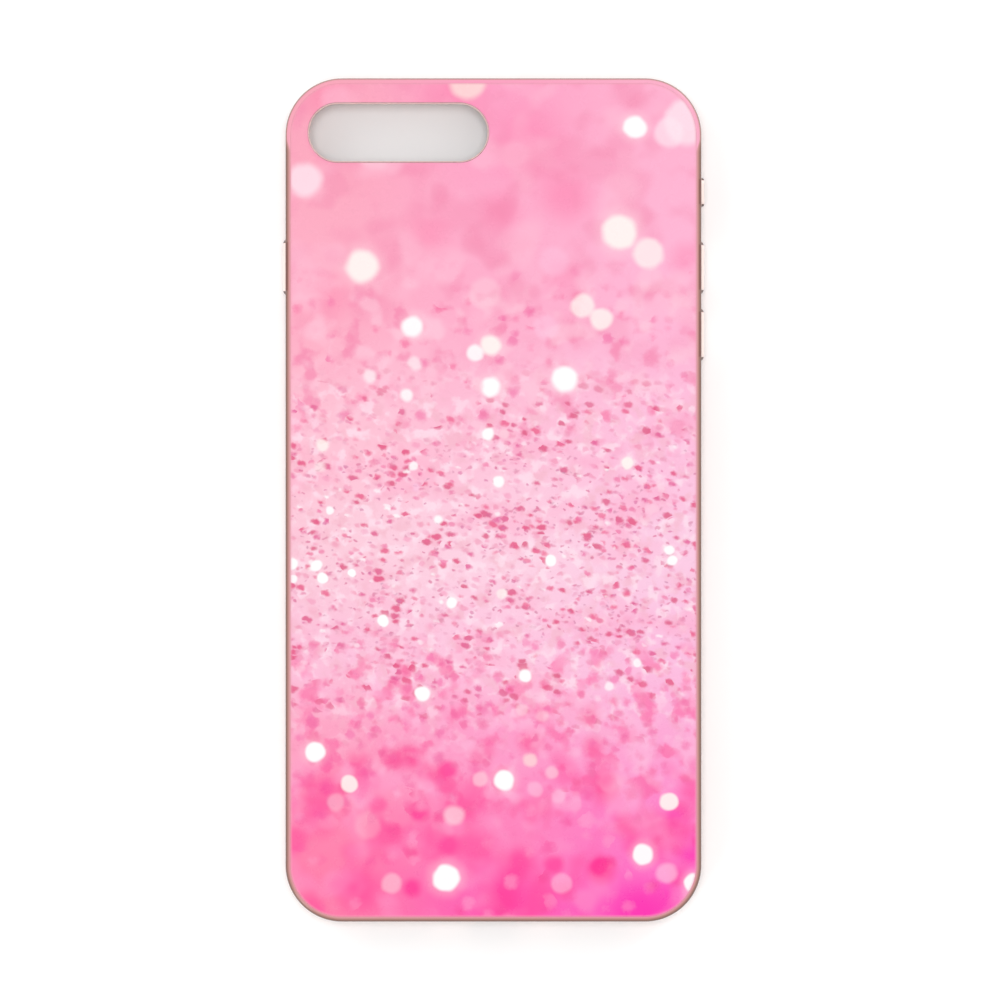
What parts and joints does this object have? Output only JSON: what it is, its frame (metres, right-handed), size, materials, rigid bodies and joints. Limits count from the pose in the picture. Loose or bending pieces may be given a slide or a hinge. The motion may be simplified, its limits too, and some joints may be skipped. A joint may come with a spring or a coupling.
{
  "type": "phone case",
  "caption": "Slim soft-framed phone case with a pink glitter-print back panel, camera window, pressable side buttons and port openings.",
  "frame": {"origin": "centre of the footprint, on the surface that the case's front lip lies on", "axes": "+Z out of the printed back, -Z out of the screen opening, +Y towards the camera end, +X to the right as seen from behind, where the volume buttons are"},
  "size_m": [0.0804, 0.1608, 0.0096],
  "materials": {
    "frame_soft_plastic": "clear rose-tinted soft plastic, glossy",
    "panel_clear_plastic": "clear hard plastic",
    "bonding_tape": "thin double-sided tape",
    "white_ink": "opaque white base coat",
    "glitter_print": "printed pink glitter and soft light spots",
    "clear_coat": "clear gloss coat",
    "button_soft_plastic": "clear pale-rose soft plastic, satin"
  },
  "bodies": {
    "shell": {"bumper_frame": "frame_soft_plastic", "bond_tape": "bonding_tape", "back_panel": "panel_clear_plastic", "white_base": "white_ink", "printed_film": "glitter_print", "top_coat": "clear_coat", "window_liner": "frame_soft_plastic", "power_web": "button_soft_plastic", "volume_up_web": "button_soft_plastic", "volume_down_web": "button_soft_plastic"},
    "power_button": {"power_pad": "button_soft_plastic"},
    "volume_up_button": {"volume_up_pad": "button_soft_plastic"},
    "volume_down_button": {"volume_down_pad": "button_soft_plastic"}
  },
  "joints": [
    {"name": "power_press", "type": "slide", "parent": "shell", "child": "power_button", "axis": [1, 0, 0], "range_m": [0, 0.0005], "stiffness_N_per_m": 1000, "deforming": ["power_web"]},
    {"name": "volume_up_press", "type": "slide", "parent": "shell", "child": "volume_up_button", "axis": [-1, 0, 0], "range_m": [0, 0.0005], "stiffness_N_per_m": 1000, "deforming": ["volume_up_web"]},
    {"name": "volume_down_press", "type": "slide", "parent": "shell", "child": "volume_down_button", "axis": [-1, 0, 0], "range_m": [0, 0.0005], "stiffness_N_per_m": 1000, "deforming": ["volume_down_web"]}
  ]
}
